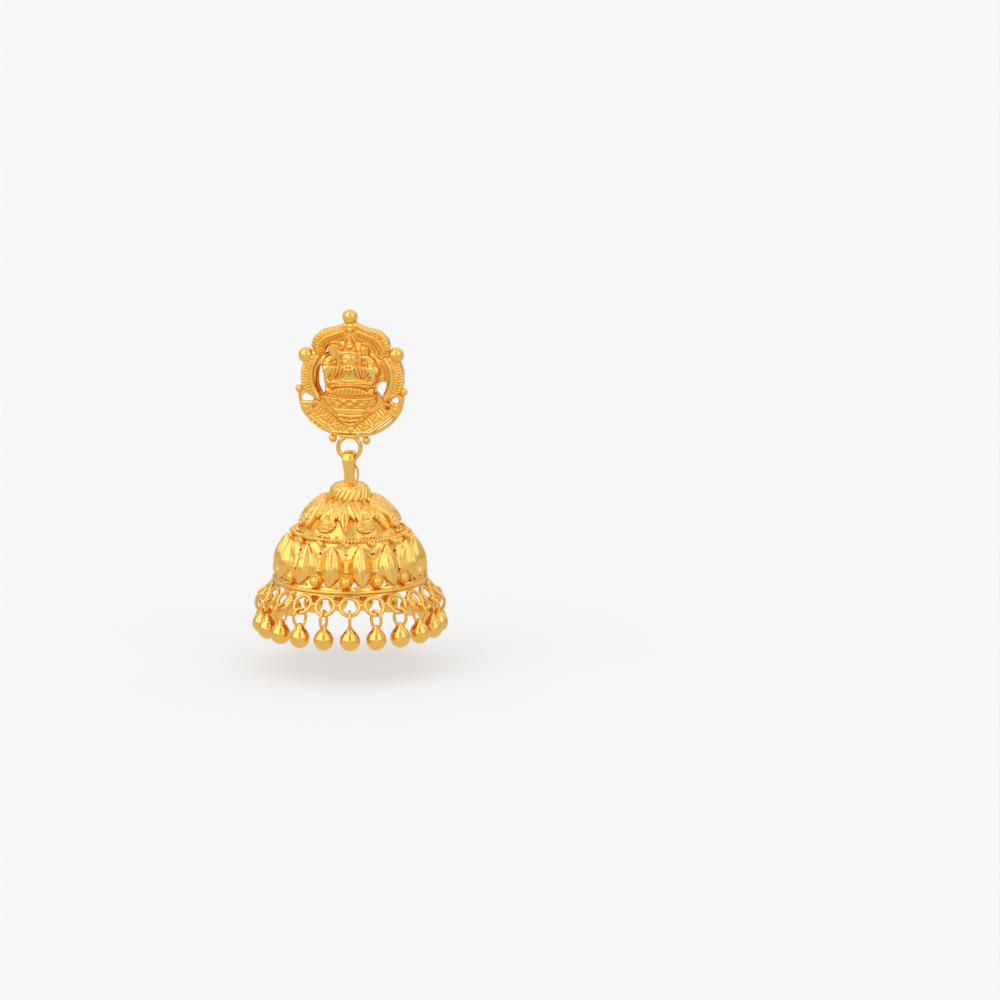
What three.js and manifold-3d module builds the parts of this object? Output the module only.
// A jhumka earring in yellow gold: a pierced medallion stud with a seated figure, and a hollow bell hung
// from the ring under it, with a row of ball drops round its rim.
// Millimetres, +Z up. The origin is on the ear post where it leaves the back of the stud. The stud
// faces -Y and the post runs along +Y.
import * as THREE from "three";
import { mergeVertices } from "three/addons/utils/BufferGeometryUtils.js";
import Module from "manifold-3d";

const wasm = await Module();
wasm.setup();

const degree = Math.PI / 180;
const sliver = 0.012; // edges and faces finer than this are dropped after a join

// Where the parts hang
const hangY = -0.6; // plane of the hanging ring, in the middle of the stud's frame
const studX = 0.25; // the medallion's middle lies this far to the right of the ring
const rimZ = -21.96; // rim plane of the bell

// Hanging ring and bail
const hangRingRadius = 1.23; // to the middle of the wire
const hangRingWire = 0.25;
const hangRingZ = -7.75;
const pivotZ = hangRingZ - hangRingRadius; // middle of the ring's lowest wire, where the bail turns
const bailClearance = 0.14;
const bailHalfWidth = 0.64;
const bailThickness = 0.56;
const bailHalfDepth = 0.86; // to the middle of the strap
const bailFootZ = 10.2; // above the rim plane
const bailFootDepth = 0.69; // to the middle of the strap, where it meets the cap

// Stud
const frameDepth = 1.1;
const backingDepth = 0.7;
const wireRadius = 0.17;

// Ear post with its pad and screw-back nut
const padGap = 0.1;
const padRadius = 1.7;
const padThickness = 0.5;
const postRadius = 0.45;
const lobeGap = 4.6; // from the pad to the nut
const nutRadius = 2.85;
const nutThickness = 1.3;
const nutRim = 0.5; // height of the nut's straight edge, before its shoulder
const nutNose = 1.6; // radius where the shoulder ends
const postBeyondNut = 1.1;

// Bell, heights above its rim plane
const lobeCount = 14;
const lobePhase = -4.8 * degree; // the lobe nearest the front
const motifCount = 7;
const motifPhase = 6.6 * degree;
const valleyBall = { radius: 0.55, out: 7.75, z: 1.1 };
const valleyHole = { radius: 0.22, z: 3.95, out: 6.8 };
const footHole = { radius: 0.32, z: 0.52, out: 7.9, aside: 5.2 * degree };
const drillLength = 2.4;

// Rings soldered round the rim, and the drops that hang from them
const ringCount = 21;
const ringPhase = 11.2 * degree;
const ringRowRadius = 9.0; // from the bell's axis to a ring's middle
const ringRowZ = -1.45;
const ringTilt = 35.5 * degree; // a ring's foot leans outwards
const ringRadius = 1.02;
const ringWire = 0.18;
const dropLoopHalfWidth = 0.7;
const dropLoopHalfHeight = 0.98;
const dropWire = 0.17;
const dropClearance = 0.1;
const dropBallRadius = 1.1;
const dropBallBelowHook = 2.8; // from the ring's lowest wire to the ball's middle

// The outer surface of the lower tier: crest radius and depth of the valleys between the lobes
const lowerTier = [
  { z: -0.62, radius: 8.5, valley: 0 },
  { z: -0.2, radius: 8.0, valley: 0 },
  { z: 0.05, radius: 8.12, valley: 0 },
  { z: 1.0, radius: 8.08, valley: 0.6 },
  { z: 2.3, radius: 8.06, valley: 0.7 },
  { z: 3.5, radius: 7.6, valley: 0.6 },
  { z: 4.4, radius: 6.95, valley: 0.3 },
  { z: 5.2, radius: 6.2, valley: 0 },
];

// The outer surface of the upper tier, and of the cap that carries the bail
const upperTier = [
  { z: 4.9, radius: 5.85 },
  { z: 5.7, radius: 5.62 },
  { z: 6.4, radius: 5.25 },
  { z: 7.2, radius: 4.85 },
  { z: 7.95, radius: 4.25 },
  { z: 8.55, radius: 3.45 },
  { z: 8.86, radius: 2.6 },
];
const cap = [
  { z: 8.5, radius: 2.3 },
  { z: 9.1, radius: 2.25 },
  { z: 9.75, radius: 1.95 },
  { z: 10.2, radius: 1.5 },
  { z: 10.45, radius: 1.2 },
];

// The hollow, under the same surfaces
const hollow = [
  { z: -0.9, radius: 8.35, valley: 0 },
  { z: -0.15, radius: 7.62, valley: 0 },
  { z: 0.9, radius: 7.66, valley: 0.56 },
  { z: 3.3, radius: 7.25, valley: 0.6 },
  { z: 4.5, radius: 6.3, valley: 0.1 },
  { z: 4.8, radius: 5.35, valley: 0 },
  { z: 6.9, radius: 4.55, valley: 0 },
  { z: 8.3, radius: 2.7, valley: 0 },
];

// Turn of each drop's loop away from its own radius, by drop, counted from the front one to the right
const loopTurns = [
  0, 32, 32, 18, 8, -12, 24, -30, 16, 30, -20, 28, -14, 32, -26, 12, -22, -6, -16, -32, -12,
];

const gold = new THREE.MeshStandardMaterial({ color: 0xe9a93a, roughness: 0.28, metalness: 1 });

// Geometry into solid and back

// A closed geometry as a solid, without the empty triangles that a lathe leaves on its axis.
function solid(geometry) {
  geometry.deleteAttribute("normal");
  geometry.deleteAttribute("uv");
  const merged = mergeVertices(geometry, 1e-4);
  const index = merged.index.array;
  const triangles = [];
  for (let i = 0; i < index.length; i += 3) {
    const [a, b, c] = index.slice(i, i + 3);
    if (a !== b && b !== c && c !== a) triangles.push(a, b, c);
  }
  const mesh = new wasm.Mesh({
    numProp: 3,
    vertProperties: merged.attributes.position.array,
    triVerts: new Uint32Array(triangles),
  });
  return new wasm.Manifold(mesh);
}

function unite(solids) {
  return solids.reduce((sum, next) => sum.add(next));
}

// A finished piece as a named mesh, without the slivers that a join or a cut leaves.
function named(name, body) {
  const { vertProperties, triVerts } = body.simplify(sliver).getMesh();
  const geometry = new THREE.BufferGeometry();
  geometry.setAttribute("position", new THREE.BufferAttribute(vertProperties, 3));
  geometry.setIndex(new THREE.BufferAttribute(triVerts, 1));
  geometry.computeVertexNormals();
  const mesh = new THREE.Mesh(geometry, gold);
  mesh.name = name;
  return mesh;
}

// Basic forms

// A closed skin through rings of points, which run anticlockwise seen from the last point.
function loft(rings, first, last) {
  const count = rings[0].length;
  const points = [first, ...rings.flat(), last];
  const at = (row, i) => 1 + row * count + (i % count);
  const top = rings.length - 1;
  const faces = [];
  for (let i = 0; i < count; i++) {
    faces.push(0, at(0, i + 1), at(0, i));
    for (let row = 0; row < top; row++) {
      faces.push(at(row, i), at(row, i + 1), at(row + 1, i + 1));
      faces.push(at(row, i), at(row + 1, i + 1), at(row + 1, i));
    }
    faces.push(at(top, i), at(top, i + 1), points.length - 1);
  }
  const geometry = new THREE.BufferGeometry().setFromPoints(points);
  geometry.setIndex(faces);
  return geometry;
}

// A closed wire round an ellipse in the XZ plane.
function hoop(halfWidth, halfHeight, wire, steps, sides) {
  const points = [];
  const faces = [];
  for (let i = 0; i < steps; i++) {
    const turn = (i / steps) * 2 * Math.PI;
    const out = new THREE.Vector2(halfHeight * Math.cos(turn), halfWidth * Math.sin(turn)).normalize();
    for (let k = 0; k < sides; k++) {
      const round = ((k + 0.5) / sides) * 2 * Math.PI;
      const reach = wire * Math.cos(round);
      points.push(
        new THREE.Vector3(
          halfWidth * Math.cos(turn) + out.x * reach,
          -wire * Math.sin(round),
          halfHeight * Math.sin(turn) + out.y * reach,
        ),
      );
      const next = ((i + 1) % steps) * sides;
      const k2 = (k + 1) % sides;
      faces.push(i * sides + k, next + k, next + k2);
      faces.push(i * sides + k, next + k2, i * sides + k2);
    }
  }
  const geometry = new THREE.BufferGeometry().setFromPoints(points);
  geometry.setIndex(faces);
  return geometry;
}

function ball(radius, x, y, z, around = 10, rows = around / 2) {
  return new THREE.SphereGeometry(radius, around, rows).rotateX(Math.PI / 2).translate(x, y, z);
}

function ellipsoid(half, middle, around, rows) {
  return new THREE.SphereGeometry(1, around, rows).scale(...half).translate(...middle);
}

// A round bar between two points.
function bar(from, to, radius, sides = 6) {
  const curve = new THREE.LineCurve3(new THREE.Vector3(...from), new THREE.Vector3(...to));
  return sweep(curve, radius, 1, sides);
}

function sweep(curve, radius, steps, sides = 6) {
  const section = new THREE.Shape();
  section.absarc(0, 0, radius, 0, 2 * Math.PI);
  return new THREE.ExtrudeGeometry(section, {
    extrudePath: curve,
    steps,
    curveSegments: sides / 2,
  });
}

// A flat plate of the stud: an outline in x and z, from the back plane forward to the given depth.
function plate(outline, depth) {
  const shape = new THREE.Shape(outline.map(([x, z]) => new THREE.Vector2(x, z)));
  return new THREE.ExtrudeGeometry(shape, { depth, bevelEnabled: false }).rotateX(Math.PI / 2);
}

// The space in front of the stud's flat back.
const inFront = solid(new THREE.BoxGeometry(40, 10, 60).translate(0, -5, 0));

// The same outline on the right and on the left.
function bothSides(outline, depth) {
  const mirrored = outline.map(([x, z]) => [-x, z]).reverse();
  return [plate(outline, depth), plate(mirrored, depth)];
}

// The stud, drawn about its own middle line

function studFrame() {
  const leaf = [
    [0.45, 4.55],
    [1.55, 3.95],
    [2.45, 3.5],
    [2.95, 2.5],
    [3.7, 2.3],
    [4.25, 3.2],
    [4.2, 3.95],
    [3.7, 4.7],
    [2.9, 5.25],
    [1.85, 5.42],
    [0.8, 5.9],
    [0.45, 5.9],
  ];
  const wing = [
    [2.9, 1.6],
    [3.45, 1.15],
    [3.65, 0.2],
    [3.6, -1.0],
    [3.2, -1.95],
    [3.5, -2.5],
    [4.3, -2.2],
    [5.2, -1.5],
    [5.55, -0.2],
    [5.4, 1.1],
    [4.7, 2.2],
    [3.5, 2.55],
  ];
  const panel = [
    [3.55, -2.75],
    [4.8, -4.2],
    [2.2, -6.1],
    [-0.02, -6.25],
    [-0.02, -5.5],
  ];
  const hub = [
    [4.3, -2.95],
    [5.35, -2.95],
    [5.5, -3.5],
    [4.95, -4.25],
    [4.2, -3.7],
  ];
  const neck = [
    [-0.6, 4.0],
    [0.6, 4.0],
    [0.55, 6.1],
    [-0.55, 6.1],
  ];
  return [
    ...bothSides(leaf, frameDepth),
    ...bothSides(wing, frameDepth),
    ...bothSides(panel, frameDepth),
    ...bothSides(hub, backingDepth),
    plate(neck, frameDepth),
  ];
}

// Balls on the frame, the same left and right
const frameBalls = [
  { x: 4.95, z: 2.6, radius: 0.86, around: 10 },
  { x: 5.72, z: -1.4, radius: 0.45, around: 8 },
  { x: 4.95, z: -3.4, radius: 0.43, around: 8 },
];

function studTrim() {
  const pieces = [ball(0.83, -0.1, hangY, 6.67), ball(0.34, 0, -1.1, 5.28, 6)];
  for (const side of [-1, 1]) {
    for (const { x, z, radius, around } of frameBalls) {
      pieces.push(ball(radius, side * x, hangY, z, around));
    }
    pieces.push(hoop(0.66, 0.66, wireRadius, 8, 4).translate(side * 4.88, hangY, -2.4));
    const ridge = new THREE.CatmullRomCurve3([
      new THREE.Vector3(side * 3.6, -frameDepth, 2.1),
      new THREE.Vector3(side * 4.25, -frameDepth - 0.1, 0.4),
      new THREE.Vector3(side * 4.1, -frameDepth - 0.1, -1.1),
      new THREE.Vector3(side * 3.5, -frameDepth + 0.2, -2.3),
    ]);
    pieces.push(sweep(ridge, 0.26, 3));
  }
  return pieces;
}

// The wire that runs round the lower half of the frame, from one small ball to the other.
function lowerWire() {
  const reach = 5.72;
  const top = -1.6;
  const bottom = -6.5;
  const points = [];
  const steps = 6;
  for (let i = -steps; i <= steps; i++) {
    const turn = (i / steps) * 90 * degree;
    const x = reach * Math.sin(turn);
    const z = top + (bottom - top) * Math.pow(Math.cos(turn), 0.9);
    points.push(new THREE.Vector3(x, hangY, z));
  }
  return sweep(new THREE.CatmullRomCurve3(points), wireRadius, 10);
}

function figureBacking() {
  const outline = [
    [0.55, 4.3],
    [0.95, 3.4],
    [1.75, 4.1],
    [2.3, 3.8],
    [2.32, 2.75],
    [3.3, 2.3],
    [3.0, 1.5],
    [2.85, 0.6],
    [2.55, -0.2],
    [2.6, -1.2],
    [3.3, -2.1],
    [3.6, -2.9],
    [1.6, -4.4],
    [0.0, -5.9],
  ];
  const mirrored = outline.map(([x, z]) => [-x, z]).reverse();
  return plate([...outline, ...mirrored.slice(1)], backingDepth);
}

// The rounded masses of the seated figure and its seat: half sizes, middle, and sides of each
const figureForms = [
  { form: "head", half: [0.66, 0.72, 0.8], middle: [0, -1.3, 2.25], around: 8, rows: 4 },
  { form: "chest", half: [1.55, 0.9, 0.95], middle: [0, -1.0, 0.75], around: 8, rows: 4 },
  { form: "shoulders", half: [2.65, 0.75, 0.5], middle: [0, -0.95, 1.0], around: 8, rows: 4 },
  { form: "folded legs", half: [2.15, 1.2, 0.72], middle: [0, -1.1, -1.5], around: 10, rows: 5 },
  { form: "lotus seat", half: [2.7, 1.35, 0.62], middle: [0, -0.8, -2.6], around: 12, rows: 4 },
  { form: "seat's foot", half: [1.9, 1.0, 0.5], middle: [0, -0.6, -3.3], around: 10, rows: 4 },
  { form: "left bud", half: [0.42, 0.5, 0.68], middle: [-1.7, -1.05, 3.05], around: 6, rows: 4 },
  { form: "right bud", half: [0.42, 0.5, 0.68], middle: [1.7, -1.05, 3.05], around: 6, rows: 4 },
];

// The seated figure: crown, head, arms with lotus buds, folded legs and the lotus seat.
function figure() {
  const crown = new THREE.LatheGeometry(
    [
      new THREE.Vector2(0, 0),
      new THREE.Vector2(0.72, 0.05),
      new THREE.Vector2(0.25, 1.05),
      new THREE.Vector2(0, 1.5),
    ],
    8,
  );
  const pieces = figureForms.map(({ half, middle, around, rows }) => ellipsoid(half, middle, around, rows));
  pieces.push(crown.rotateX(Math.PI / 2).translate(0, -1.15, 3.0));
  for (const side of [-1, 1]) {
    pieces.push(bar([side * 1.1, -1.0, 1.2], [side * 2.3, -1.0, 1.75], 0.42));
    pieces.push(bar([side * 2.3, -1.0, 1.5], [side * 1.75, -1.1, 2.6], 0.36));
  }
  return pieces;
}

function hangingRing() {
  const granules = [-1, 1].map((side) => ball(0.45, side * 1.8, hangY, -6.74, 8));
  const ring = hoop(hangRingRadius, hangRingRadius, hangRingWire, 16, 6).translate(0, hangY, hangRingZ);
  const foot = new THREE.BoxGeometry(1.6, 0.66, 0.5).translate(0, hangY, -6.47);
  return [ring, foot, ...granules];
}

function studMedallion() {
  const drawn = [...studFrame(), ...studTrim(), lowerWire(), figureBacking(), ...figure()];
  for (const geometry of drawn) geometry.translate(studX, 0, 0);
  const body = unite([...drawn, ...hangingRing()].map(solid));
  return named("stud_medallion", body.intersect(inFront));
}

// The ear post: pad on the stud's back, post through the lobe, nut behind it. One plain piece.
function earPost() {
  const padEnd = padGap + padThickness;
  const nutStart = padEnd + lobeGap;
  const nutEnd = nutStart + nutThickness;
  const profile = [
    [0, padGap],
    [padRadius, padGap],
    [padRadius, padEnd],
    [postRadius, padEnd],
    [postRadius, nutStart],
    [nutRadius, nutStart],
    [nutRadius, nutStart + nutRim],
    [nutNose, nutEnd],
    [postRadius, nutEnd],
    [postRadius, nutEnd + postBeyondNut],
    [0, nutEnd + postBeyondNut],
  ];
  const outline = profile.map(([radius, y]) => new THREE.Vector2(radius, y));
  return named("ear_post", solid(new THREE.LatheGeometry(outline, 12)));
}

// The bell

function onCircle(radius, angle, z) {
  return new THREE.Vector3(radius * Math.sin(angle), -radius * Math.cos(angle), z);
}

// How deep the surface lies between two lobes: 0 on a crest, 1 in a valley.
function valleyShare(angle) {
  const turn = ((angle - lobePhase) * lobeCount) / (2 * Math.PI);
  const fromCrest = Math.abs(turn - Math.round(turn)) * 2;
  return fromCrest * fromCrest;
}

// A closed form turned round the bell's axis, lobed where its rows have a valley.
function turned(rows, segments, phase = 0) {
  const rings = rows.map(({ z, radius, valley = 0 }) =>
    Array.from({ length: segments }, (_, i) => {
      const angle = phase + (i / segments) * 2 * Math.PI;
      return onCircle(radius - valley * valleyShare(angle), angle, z);
    }),
  );
  const first = new THREE.Vector3(0, 0, rows[0].z);
  const last = new THREE.Vector3(0, 0, rows[rows.length - 1].z);
  return loft(rings, first, last);
}

function radiusAt(rows, z) {
  let i = 0;
  while (i < rows.length - 2 && z > rows[i + 1].z) i++;
  const share = (z - rows[i].z) / (rows[i + 1].z - rows[i].z);
  return THREE.MathUtils.lerp(rows[i].radius, rows[i + 1].radius, share);
}

// How far a petal's edge, its ends and its root lie under the surface that it is soldered to
const edgeDepth = 0.02;
const tipDepth = 0.12;
const rootDepth = 0.35;

// A pointed petal with a midrib that lies on a tier, from one place to another: angle and height.
function petal(rows, from, to, halfWidth, proud, steps = 3) {
  const middle = radiusAt(rows, (from.z + to.z) / 2);
  const along = new THREE.Vector2((to.angle - from.angle) * middle, to.z - from.z).normalize();
  const place = (share, sideways, lift) => {
    const z = THREE.MathUtils.lerp(from.z, to.z, share) - along.x * sideways;
    const angle = THREE.MathUtils.lerp(from.angle, to.angle, share) + (along.y * sideways) / middle;
    return onCircle(radiusAt(rows, z) + lift, angle, z);
  };
  const rings = [];
  for (let i = 1; i <= steps; i++) {
    const share = i / (steps + 1);
    const half = halfWidth * Math.pow(Math.sin(Math.PI * share), 0.8);
    const lift = proud * Math.sin(Math.PI * share);
    rings.push([
      place(share, 0, lift),
      place(share, half, -edgeDepth),
      place(share, 0, -rootDepth),
      place(share, -half, -edgeDepth),
    ]);
  }
  return loft(rings, place(0, 0, -tipDepth), place(1, 0, -tipDepth));
}

function lowerTierTrim() {
  const pieces = [];
  for (let i = 0; i < lobeCount; i++) {
    const crest = lobePhase + (i / lobeCount) * 2 * Math.PI;
    const valley = crest + Math.PI / lobeCount;
    const top = { angle: crest, z: 4.72 };
    pieces.push(petal(lowerTier, { angle: crest, z: 0.4 }, top, 1.0, 0.3));
    const seat = onCircle(valleyBall.out, valley, valleyBall.z);
    pieces.push(ball(valleyBall.radius, seat.x, seat.y, seat.z, 6, 4));
  }
  return pieces;
}

function upperTierTrim() {
  const pieces = [];
  const step = (2 * Math.PI) / motifCount;
  for (let i = 0; i < motifCount; i++) {
    const middle = motifPhase + i * step;
    const at = (share, z) => ({ angle: middle + share * step, z });
    pieces.push(petal(upperTier, at(0, 5.5), at(0, 8.5), 0.85, 0.42, 2));
    pieces.push(petal(upperTier, at(0.31, 6.3), at(0.69, 6.3), 0.62, 0.4, 2));
  }
  return pieces;
}

// The pierced places between the lobes: a small hole high in each valley, and a three-cornered one on
// each side of every leaf's foot.
function piercings() {
  const cuts = [];
  const drill = (hole, sides, angle) =>
    new THREE.CylinderGeometry(hole.radius, hole.radius, drillLength, sides)
      .translate(0, -hole.out, hole.z)
      .rotateZ(angle);
  for (let i = 0; i < lobeCount; i++) {
    const crest = lobePhase + (i / lobeCount) * 2 * Math.PI;
    const valley = crest + Math.PI / lobeCount;
    cuts.push(drill(valleyHole, 4, valley));
    for (const side of [-1, 1]) cuts.push(drill(footHole, 3, crest + side * footHole.aside));
  }
  return unite(cuts.map(solid));
}

function ringRow() {
  const pieces = [];
  for (let i = 0; i < ringCount; i++) {
    const angle = ringPhase + (i / ringCount) * 2 * Math.PI;
    pieces.push(
      hoop(ringRadius, ringRadius, ringWire, 10, 5)
        .rotateX(-ringTilt)
        .translate(0, -ringRowRadius, ringRowZ)
        .rotateZ(angle),
    );
  }
  return pieces;
}

// A strap bent over the ring's lowest wire, with both legs in the cap.
function bail() {
  const pivot = pivotZ - rimZ;
  const crownZ = pivot + hangRingWire + bailClearance + bailThickness / 2;
  const shoulderZ = crownZ - bailHalfDepth;
  const points = [new THREE.Vector3(0, -bailFootDepth, bailFootZ)];
  for (let i = 0; i <= 6; i++) {
    const turn = Math.PI * (1 - i / 6);
    const y = bailHalfDepth * Math.cos(turn);
    points.push(new THREE.Vector3(0, y, shoulderZ + bailHalfDepth * Math.sin(turn)));
  }
  points.push(new THREE.Vector3(0, bailFootDepth, bailFootZ));
  const section = new THREE.Shape();
  section.absellipse(0, 0, bailHalfWidth, bailThickness / 2, 0, 2 * Math.PI);
  return new THREE.ExtrudeGeometry(section, {
    extrudePath: new THREE.CatmullRomCurve3(points),
    steps: 8,
    curveSegments: 4,
  });
}

function bell() {
  const shell = unite([
    solid(turned(lowerTier, lobeCount * 4, lobePhase)),
    solid(turned(upperTier, 24)),
    solid(turned(cap, 12)),
  ]);
  const open = shell.subtract(solid(turned(hollow, lobeCount * 2, lobePhase))).subtract(piercings());
  const trim = unite([...lowerTierTrim(), ...upperTierTrim(), ...ringRow(), bail()].map(solid));
  return named("bell", open.add(trim));
}

// A drop: a ball with a short neck under the loop of wire that hooks through its ring.
function drop(index) {
  const hookHeight = dropWire + ringWire + dropClearance; // of the loop's top wire above the ring's lowest
  const loopMiddle = hookHeight - dropLoopHalfHeight;
  const loop = hoop(dropLoopHalfWidth, dropLoopHalfHeight, dropWire, 10, 5)
    .rotateZ(Math.PI / 2)
    .translate(0, 0, loopMiddle);
  const ballZ = -dropBallBelowHook;
  const profile = [
    [0, ballZ - dropBallRadius],
    [dropBallRadius * 0.71, ballZ - dropBallRadius * 0.71],
    [dropBallRadius, ballZ],
    [dropBallRadius * 0.66, ballZ + dropBallRadius * 0.74],
    [0, ballZ + dropBallRadius * 1.2],
  ];
  const pear = new THREE.LatheGeometry(
    profile.map(([radius, z]) => new THREE.Vector2(radius, z)),
    10,
  ).rotateX(Math.PI / 2);
  const name = "drop_" + String(index + 1).padStart(2, "0");
  const mesh = named(name, solid(loop).add(solid(pear)));
  mesh.rotation.z = loopTurns[index] * degree;
  mesh.position.y = -(ringRowRadius + ringRadius * Math.sin(ringTilt));
  mesh.position.z = ringRowZ - ringRadius * Math.cos(ringTilt);
  const holder = new THREE.Group();
  holder.rotation.z = ringPhase + (index / ringCount) * 2 * Math.PI;
  holder.add(mesh);
  return holder;
}

const hangingPart = new THREE.Group();
hangingPart.position.set(0, hangY, rimZ);
hangingPart.add(bell());
for (let i = 0; i < ringCount; i++) hangingPart.add(drop(i));

const earring = new THREE.Group();
earring.add(studMedallion(), earPost(), hangingPart);

export default earring;
